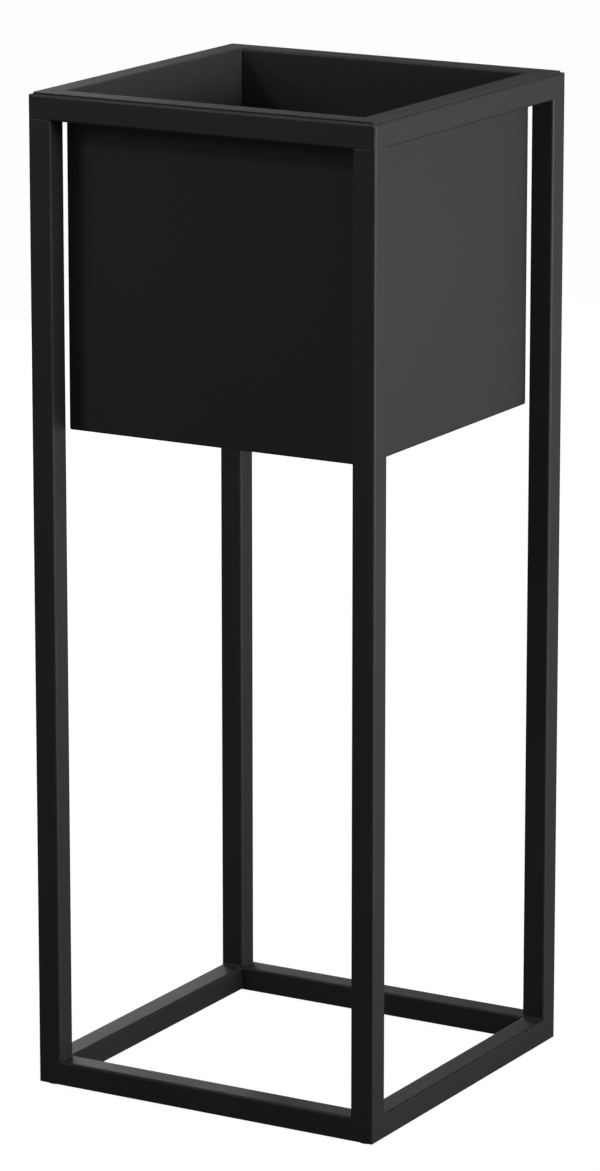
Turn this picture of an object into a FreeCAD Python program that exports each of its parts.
import FreeCAD, Part
import math
import os
import Sketcher

# Raised planter: a folded sheet-steel box hung by its rim in a welded stand of square tube.
#
# Millimetres, +Z up. The origin is on the floor, under the middle of the stand, and the front faces -Y.
# The stand is a bottom ring and a top ring of four mitred tubes each, with four legs cut square and
# butted between the rings. The box drops in through the top ring, rests on its rim and lifts out.
# A rubber bung closes the drain hole in the box's floor, and four thin pads keep the stand off the floor.

# Driving dimensions: name, value, what it is.
SIZES = [
    ("frame_width", 232.0, "outside of the stand, along X"),
    ("frame_depth", 232.0, "outside of the stand, along Y"),
    ("frame_height", 605.0, "underside of the bottom ring to the top of the top ring"),
    ("tube_side", 15.0, "outside of the square tube"),
    ("tube_wall", 1.2, "wall of the tube"),
    ("tube_radius", 1.5, "outside corner radius of the tube"),
    ("weld_leg", 1.5, "leg of the fillet welds in the stand's inside corners"),
    ("pad_height", 1.0, "thickness of a floor pad"),
    ("pad_diameter", 10.0, "diameter of a floor pad"),
    ("pad_edge", 0.25, "chamfer round the underside of a floor pad"),
    ("box_clearance", 1.0, "gap between the box and the inside of the stand, all round"),
    ("box_drop", 201.1, "underside of the rim to the underside of the box"),
    ("sheet", 1.0, "thickness of the box's sheet"),
    ("bend", 0.5, "inside radius of the sheet's bends"),
    ("rim_inset", 2.0, "outside of the stand to the edge of the rim"),
    ("drain_diameter", 12.0, "drain hole in the box's floor"),
    ("bung_play", 0.05, "radial clearance of the bung's neck in the drain hole"),
    ("bung_taper", 0.8, "how far the neck narrows to its end, on the radius"),
    ("bung_neck", 6.0, "length of the neck under the flange"),
    ("bung_flange", 22.0, "diameter of the flange that seals on the floor"),
    ("bung_flange_height", 1.6, "thickness of that flange"),
    ("bung_grip", 8.0, "diameter of the grip on the flange"),
    ("bung_grip_height", 3.0, "height of the grip"),
    ("bung_edge", 0.4, "rounding of the flange and the grip"),
]

# Corner of the stand: which way it lies along X and Y.
CORNERS = {
    "front_left": (-1, -1),
    "front_right": (1, -1),
    "back_right": (1, 1),
    "back_left": (-1, 1),
}

# Side of the stand: turn about Z from the front, which way it lies, its own length and the span across.
SIDES = {
    "front": (0, (0, -1), "Size.frame_width", "Size.frame_depth"),
    "right": (90, (1, 0), "Size.frame_depth", "Size.frame_width"),
    "back": (180, (0, 1), "Size.frame_width", "Size.frame_depth"),
    "left": (270, (-1, 0), "Size.frame_depth", "Size.frame_width"),
}

CUT_MARGIN = 1.0  # how far the outline of a cut runs past the solid
SMALL = 1e-4  # the play allowed when an edge is looked up by its place


def make_sheet(doc):
    """The spreadsheet of driving dimensions, one to a row."""
    sheet = doc.addObject("Spreadsheet::Sheet", "Size")
    for row, (name, value, note) in enumerate(SIZES, start=1):
        sheet.set(f"A{row}", name)
        sheet.set(f"B{row}", str(value))
        sheet.setAlias(f"B{row}", name)
        sheet.set(f"C{row}", note)
    doc.recompute()


# Sketches


def value_of(obj, expression):
    """The number, in millimetres, that an expression of the sheet's cells gives now."""
    result = obj.evalExpression(expression)
    return float(getattr(result, "Value", result))


def new_body(doc, label):
    body = doc.addObject("PartDesign::Body", label)
    body.Label = label
    return body


def new_sketch(body, name, plane, lift=None):
    """A sketch on one of the body's origin planes, or lifted off it by an expression."""
    sketch = body.newObject("Sketcher::SketchObject", f"{body.Label}_{name}")
    origin_plane = next(part for part in body.Origin.OriginFeatures if part.Role == plane)
    sketch.AttachmentSupport = [(origin_plane, "")]
    sketch.MapMode = "FlatFace"
    if lift:
        sketch.setExpression("AttachmentOffset.Base.z", lift)
    return sketch


def dimension(sketch, kind, *where, length):
    """A dimension of the sketch that follows an expression."""
    index = sketch.addConstraint(Sketcher.Constraint(kind, *where, value_of(sketch, length)))
    sketch.setExpression(f"Constraints[{index}]", length)


def draw_outline(sketch, points):
    """A closed outline of straight lines through points given as pairs of expressions."""
    first = sketch.GeometryCount
    at = [FreeCAD.Vector(value_of(sketch, x), value_of(sketch, y), 0) for x, y in points]
    for start, end in zip(at, at[1:] + at[:1]):
        sketch.addGeometry(Part.LineSegment(start, end), False)
    for i, (x, y) in enumerate(points):
        line = first + i
        line_before = first + (i - 1) % len(points)
        sketch.addConstraint(Sketcher.Constraint("Coincident", line_before, 2, line, 1))
        if x == "0":
            sketch.addConstraint(Sketcher.Constraint("PointOnObject", line, 1, -2))
        else:
            dimension(sketch, "DistanceX", line, 1, length=x)
        if y == "0":
            sketch.addConstraint(Sketcher.Constraint("PointOnObject", line, 1, -1))
        else:
            dimension(sketch, "DistanceY", line, 1, length=y)


def draw_round_rectangle(sketch, width, depth, radius):
    """A rectangle centred on the sketch's origin, with an arc tangent to its sides at each corner."""
    first = sketch.GeometryCount
    half_x = value_of(sketch, width) / 2
    half_y = value_of(sketch, depth) / 2
    r = value_of(sketch, radius)
    centres = [
        FreeCAD.Vector(side_x * (half_x - r), side_y * (half_y - r), 0)
        for side_x, side_y in ((1, 1), (-1, 1), (-1, -1), (1, -1))
    ]
    up = FreeCAD.Vector(0, 0, 1)
    arcs = []
    for corner, centre in enumerate(centres):
        start = corner * math.pi / 2
        arcs.append(Part.ArcOfCircle(Part.Circle(centre, up, r), start, start + math.pi / 2))
    for corner, arc in enumerate(arcs):
        next_arc = arcs[(corner + 1) % 4]
        sketch.addGeometry(arc, False)
        sketch.addGeometry(Part.LineSegment(arc.EndPoint, next_arc.StartPoint), False)
    for corner in range(4):
        arc, side = first + 2 * corner, first + 2 * corner + 1
        next_arc = first + 2 * ((corner + 1) % 4)
        sketch.addConstraint(Sketcher.Constraint("Tangent", arc, 2, side, 1))
        sketch.addConstraint(Sketcher.Constraint("Tangent", side, 2, next_arc, 1))
        sketch.addConstraint(Sketcher.Constraint("Vertical" if corner % 2 else "Horizontal", side))
        if corner:
            sketch.addConstraint(Sketcher.Constraint("Equal", first, arc))
    dimension(sketch, "Radius", first, length=radius)
    # The centres of two opposite arcs stand half a straight side from the axes.
    dimension(sketch, "DistanceX", first, 3, length=f"({width}) / 2 - ({radius})")
    dimension(sketch, "DistanceY", first, 3, length=f"({depth}) / 2 - ({radius})")
    sketch.addConstraint(Sketcher.Constraint("Symmetric", first, 3, first + 4, 3, -1, 1))


def draw_corner_waste(sketch, way_x, corner_x, corner_y, radius):
    """What rounding takes off a square corner at (corner_x, corner_y) of a piece that lies inward of it.

    An arc of the radius joins the two sides, way_x is the side that the corner is on, and the corner
    looks towards -Y. The straight lines run outside the piece, CUT_MARGIN from it.
    """
    points = [
        (f"{corner_x} - {way_x} * {radius}", corner_y),
        (corner_x, f"{corner_y} + {radius}"),
        (f"{corner_x} + {way_x} * {CUT_MARGIN}", f"{corner_y} + {radius}"),
        (f"{corner_x} + {way_x} * {CUT_MARGIN}", f"{corner_y} - {CUT_MARGIN}"),
        (f"{corner_x} - {way_x} * {radius}", f"{corner_y} - {CUT_MARGIN}"),
    ]
    at = [FreeCAD.Vector(value_of(sketch, x), value_of(sketch, y), 0) for x, y in points]
    r = value_of(sketch, radius)
    centre = FreeCAD.Vector(at[0].x, at[1].y, 0)
    middle = centre + FreeCAD.Vector(way_x, -1, 0) * (r / math.sqrt(2))
    first = sketch.GeometryCount
    sketch.addGeometry(Part.Arc(at[0], middle, at[1]), False)
    for start, end in zip(at[1:], at[2:] + at[:1]):
        sketch.addGeometry(Part.LineSegment(start, end), False)
    # An arc runs anticlockwise, so on the left its first end is the one on the upright side.
    start_point, end_point = (1, 2) if way_x > 0 else (2, 1)
    ends = [(first, start_point), (first, end_point)] + [(first + i, 2) for i in (1, 2, 3)]
    sketch.addConstraint(Sketcher.Constraint("Coincident", first, end_point, first + 1, 1))
    for i in (1, 2, 3):
        sketch.addConstraint(Sketcher.Constraint("Coincident", first + i, 2, first + i + 1, 1))
    sketch.addConstraint(Sketcher.Constraint("Coincident", first + 4, 2, first, start_point))
    for (geometry, point), (x, y) in zip(ends, points):
        dimension(sketch, "DistanceX", geometry, point, length=x)
        dimension(sketch, "DistanceY", geometry, point, length=y)
    dimension(sketch, "Radius", first, length=radius)


def draw_circle(sketch, radius):
    """A circle about the sketch's origin."""
    middle = FreeCAD.Vector(0, 0, 0)
    circle = Part.Circle(middle, FreeCAD.Vector(0, 0, 1), value_of(sketch, radius))
    index = sketch.addGeometry(circle, False)
    sketch.addConstraint(Sketcher.Constraint("Coincident", index, 3, -1, 1))
    dimension(sketch, "Radius", index, length=radius)


# Features


def pad(body, sketch, length, both_ways=False):
    """Pads a sketch by an expression, half of it to each side if both_ways."""
    feature = body.newObject("PartDesign::Pad", f"{sketch.Label}_pad")
    feature.Profile = sketch
    feature.SideType = "Symmetric" if both_ways else "One side"
    feature.setExpression("Length", length)
    body.Document.recompute()
    return feature


def pocket_through(body, sketch):
    """Cuts a sketch through the whole body, both ways, and makes sure that it took something away."""
    before = body.Shape.Volume
    feature = body.newObject("PartDesign::Pocket", f"{sketch.Label}_cut")
    feature.Profile = sketch
    feature.SideType = "Symmetric"
    feature.Type = "ThroughAll"
    body.Document.recompute()
    check_cut(body, feature, before)
    return feature


def pocket_down(body, sketch, depth):
    """Cuts a sketch down by an expression, and makes sure that it took something away."""
    before = body.Shape.Volume
    feature = body.newObject("PartDesign::Pocket", f"{sketch.Label}_cut")
    feature.Profile = sketch
    feature.SideType = "One side"
    feature.Type = "Length"
    feature.setExpression("Length", depth)
    body.Document.recompute()
    check_cut(body, feature, before)
    return feature


def check_cut(body, feature, volume_before):
    if not body.Shape.Volume < volume_before:
        raise RuntimeError(f"{feature.Label} cuts nothing from {body.Label}")


def dress_edges(body, kind, name, size, belongs):
    """A Fillet or Chamfer of the given size on the edges whose points all satisfy belongs."""
    base = body.Tip
    names = []
    for number, edge in enumerate(base.Shape.Edges, start=1):
        # A rounded corner's pole is an edge of no length, which can't be dressed.
        if not edge.Degenerated and all(belongs(point) for point in edge.discretize(5)):
            names.append(f"Edge{number}")
    if not names:
        raise RuntimeError(f"{body.Label} has no edge for {name}")
    feature = body.newObject(f"PartDesign::{kind}", f"{body.Label}_{name}")
    feature.Base = (base, names)
    feature.setExpression("Radius" if kind == "Fillet" else "Size", size)
    body.Document.recompute()
    return feature


def revolve(body, sketch):
    """Turns a sketch on the XZ plane once round the body's Z axis."""
    feature = body.newObject("PartDesign::Revolution", f"{sketch.Label}_turn")
    feature.Profile = sketch
    feature.ReferenceAxis = (sketch, ["V_Axis"])
    body.Document.recompute()
    return feature


def place(obj, x="0", y="0", z="0", turn=0):
    """Turns an object about Z by a number of degrees and puts it at x, y, z, which are expressions."""
    upright = FreeCAD.Rotation(FreeCAD.Vector(0, 0, 1), turn)
    obj.Placement = FreeCAD.Placement(FreeCAD.Vector(), upright)
    for axis, expression in (("x", x), ("y", y), ("z", z)):
        obj.setExpression(f"Placement.Base.{axis}", expression)
    return obj


# The stand


def draw_tube(sketch):
    """The section of the square tube: its outside and its bore, centred on the sketch's origin."""
    bore = "Size.tube_side - 2 * Size.tube_wall"
    draw_round_rectangle(sketch, "Size.tube_side", "Size.tube_side", "Size.tube_radius")
    draw_round_rectangle(sketch, bore, bore, "Size.tube_radius - Size.tube_wall")


def make_rail(doc, level, side, z):
    """A rail of a ring: tube along X, its outer face towards -Y, mitred at both ends."""
    turn, (way_x, way_y), length, span = SIDES[side]
    body = new_body(doc, f"{level}_rail_{side}")
    section = new_sketch(body, "section", "YZ_Plane")
    draw_tube(section)
    pad(body, section, length, both_ways=True)
    half = f"({length}) / 2"
    mitres = new_sketch(body, "mitres", "XY_Plane")
    edge = f"(Size.tube_side / 2 + {CUT_MARGIN})"
    outer_end = f"({half} + {CUT_MARGIN})"
    inner_end = f"({half} - Size.tube_side - {CUT_MARGIN})"
    for way in (1, -1):
        waste = [(outer_end, f"-{edge}"), (outer_end, edge), (inner_end, edge)]
        draw_outline(mitres, [(f"{way} * {x}", y) for x, y in waste])
    pocket_through(body, mitres)
    # The ring's corners are ground to the radius of the tube, so that they run on into the legs' edges.
    corners = new_sketch(body, "corners", "XY_Plane")
    for way in (1, -1):
        draw_corner_waste(corners, way, f"{way} * {half}", "-Size.tube_side / 2", "Size.tube_radius")
    pocket_through(body, corners)
    out = f"(({span}) - Size.tube_side) / 2"
    return place(body, f"{way_x} * {out}", f"{way_y} * {out}", z, turn)


def make_leg(doc, corner):
    """A leg: tube along Z from the top of the bottom ring to the underside of the top ring."""
    way_x, way_y = CORNERS[corner]
    body = new_body(doc, f"leg_{corner}")
    section = new_sketch(body, "section", "XY_Plane")
    draw_tube(section)
    pad(body, section, "Size.frame_height - 2 * Size.tube_side")
    return place(
        body,
        f"{way_x} * (Size.frame_width - Size.tube_side) / 2",
        f"{way_y} * (Size.frame_depth - Size.tube_side) / 2",
        "Size.pad_height + Size.tube_side",
    )


def make_welds(doc):
    """The fillet welds: a three-cornered bead in each inside corner between a leg and a rail.

    Every leg has one bead at the foot of each of its two inner faces and one at their head, as long
    as the flat of the tube. They are one node of separate solids, since they are all alike.
    """
    size = doc.getObject("Size")
    flat = size.tube_side - 2 * size.tube_radius
    low = size.pad_height + size.tube_side
    high = size.pad_height + size.frame_height - size.tube_side
    beads = []
    for way_x, way_y in CORNERS.values():
        # The leg's axis, and the two ways that its inner faces look.
        leg = FreeCAD.Vector(
            way_x * (size.frame_width - size.tube_side) / 2,
            way_y * (size.frame_depth - size.tube_side) / 2,
            0,
        )
        for inward in (FreeCAD.Vector(-way_x, 0, 0), FreeCAD.Vector(0, -way_y, 0)):
            along = FreeCAD.Vector(-inward.y, inward.x, 0)
            for z, up in ((low, 1), (high, -1)):
                root = leg + inward * (size.tube_side / 2) + along * (flat / 2) + FreeCAD.Vector(0, 0, z)
                toe = root + inward * size.weld_leg
                head = root + FreeCAD.Vector(0, 0, up * size.weld_leg)
                section = Part.Face(Part.makePolygon([root, toe, head, root]))
                beads.append(section.extrude(along * -flat))
    welds = doc.addObject("Part::Feature", "corner_welds")
    welds.Label = "corner_welds"
    welds.Shape = Part.makeCompound(beads)
    return place(welds)


def make_floor_pad(doc, corner):
    """A floor pad: a thin disc stuck under a corner of the bottom ring, below the leg."""
    way_x, way_y = CORNERS[corner]
    body = new_body(doc, f"floor_pad_{corner}")
    disc = new_sketch(body, "disc", "XY_Plane")
    draw_circle(disc, "Size.pad_diameter / 2")
    pad(body, disc, "Size.pad_height")
    dress_edges(body, "Chamfer", "edge", "Size.pad_edge", lambda point: abs(point.z) < SMALL)
    return place(
        body,
        f"{way_x} * (Size.frame_width - Size.tube_side) / 2",
        f"{way_y} * (Size.frame_depth - Size.tube_side) / 2",
    )


# The box and its bung


def make_box(doc):
    """The planter box, in its own frame: the underside of its floor at z = 0, and open at the top."""
    body = new_body(doc, "planter_box")
    size = doc.getObject("Size")
    gap = "2 * (Size.tube_side + Size.box_clearance)"
    width = f"Size.frame_width - {gap}"
    depth = f"Size.frame_depth - {gap}"
    bend_outside = "Size.bend + Size.sheet"
    height = "Size.box_drop + Size.sheet"

    walls = new_sketch(body, "walls", "XY_Plane")
    draw_round_rectangle(walls, width, depth, bend_outside)
    pad(body, walls, height)
    dress_edges(body, "Fillet", "floor_bend", bend_outside, lambda point: abs(point.z) < SMALL)

    rim = new_sketch(body, "rim", "XY_Plane", lift="Size.box_drop")
    rim_width = "Size.frame_width - 2 * Size.rim_inset"
    rim_depth = "Size.frame_depth - 2 * Size.rim_inset"
    draw_round_rectangle(rim, rim_width, rim_depth, bend_outside)
    pad(body, rim, "Size.sheet")
    # The bends are found by their height and by running round the walls, not round the rim's edge.
    past_wall_x = value_of(body, f"({width}) / 2") + SMALL
    past_wall_y = value_of(body, f"({depth}) / 2") + SMALL

    def round_the_walls(point, z):
        return abs(point.z - z) < SMALL and abs(point.x) < past_wall_x and abs(point.y) < past_wall_y

    rim_underside = size.box_drop
    dress_edges(
        body, "Fillet", "rim_bend", "Size.bend", lambda point: round_the_walls(point, rim_underside)
    )

    inside = new_sketch(body, "inside", "XY_Plane", lift=height)
    draw_round_rectangle(inside, f"{width} - 2 * Size.sheet", f"{depth} - 2 * Size.sheet", "Size.bend")
    pocket_down(body, inside, "Size.box_drop")
    floor_top = size.sheet
    dress_edges(
        body, "Fillet", "floor_bend_inside", "Size.bend", lambda point: round_the_walls(point, floor_top)
    )
    rim_top = size.box_drop + size.sheet
    dress_edges(
        body, "Fillet", "rim_bend_inside", bend_outside, lambda point: round_the_walls(point, rim_top)
    )

    drain = new_sketch(body, "drain", "XY_Plane")
    draw_circle(drain, "Size.drain_diameter / 2")
    pocket_through(body, drain)
    return place(body, z="Size.pad_height + Size.frame_height - Size.box_drop")


def make_bung(doc):
    """The drain bung, turned about Z, with the underside of its flange at z = 0."""
    body = new_body(doc, "drain_bung")
    size = doc.getObject("Size")
    neck = "Size.drain_diameter / 2 - Size.bung_play"
    flange = "Size.bung_flange / 2"
    grip = "Size.bung_grip / 2"
    top = "Size.bung_flange_height + Size.bung_grip_height"
    profile = new_sketch(body, "profile", "XZ_Plane")
    draw_outline(
        profile,
        [
            ("0", "-Size.bung_neck"),
            (f"{neck} - Size.bung_taper", "-Size.bung_neck"),
            # The neck fills the hole at its own diameter and narrows only below the box's floor.
            (neck, "-Size.sheet"),
            (neck, "0"),
            (flange, "0"),
            (flange, "Size.bung_flange_height"),
            (grip, "Size.bung_flange_height"),
            (grip, top),
            ("0", top),
        ],
    )
    revolve(body, profile)
    grip_top = size.bung_flange_height + size.bung_grip_height
    flange_radius = size.bung_flange / 2
    dress_edges(
        body,
        "Fillet",
        "rounding",
        "Size.bung_edge",
        lambda point: abs(point.z - grip_top) < SMALL
        or (
            abs(point.z - size.bung_flange_height) < SMALL
            and abs(math.hypot(point.x, point.y) - flange_radius) < SMALL
        ),
    )
    return place(body, z="Size.pad_height + Size.frame_height - Size.box_drop + Size.sheet")


# The whole part


def check_objects(doc):
    """Stops if an object of the document failed to compute."""
    for obj in doc.Objects:
        bad = [state for state in obj.State if state in ("Invalid", "Error")]
        if bad:
            raise RuntimeError(f"{obj.Label} is {bad}")


def write_parts(pieces):
    """Checks every piece's shape, then writes each to parts under its own name."""
    for piece in pieces:
        if piece.Shape.isNull() or not piece.Shape.isValid():
            raise RuntimeError(f"{piece.Label} has no valid shape")
    os.makedirs("parts", exist_ok=True)
    for piece in pieces:
        piece.Shape.exportStep(f"parts/{piece.Label}.step")
        box = piece.Shape.BoundBox
        print(
            f"{piece.Label}: {len(piece.Shape.Solids)} solid(s), {piece.Shape.Volume:.1f} mm3,"
            f" z {box.ZMin:.2f} to {box.ZMax:.2f}"
        )


def main():
    doc = FreeCAD.newDocument("raised_planter")
    make_sheet(doc)
    pieces = []
    levels = {
        "bottom": "Size.pad_height + Size.tube_side / 2",
        "top": "Size.pad_height + Size.frame_height - Size.tube_side / 2",
    }
    for level, z in levels.items():
        for side in SIDES:
            pieces.append(make_rail(doc, level, side, z))
    for corner in CORNERS:
        pieces.append(make_leg(doc, corner))
        pieces.append(make_floor_pad(doc, corner))
    pieces.append(make_welds(doc))
    pieces.append(make_box(doc))
    pieces.append(make_bung(doc))
    doc.recompute()
    check_objects(doc)
    write_parts(pieces)


main()
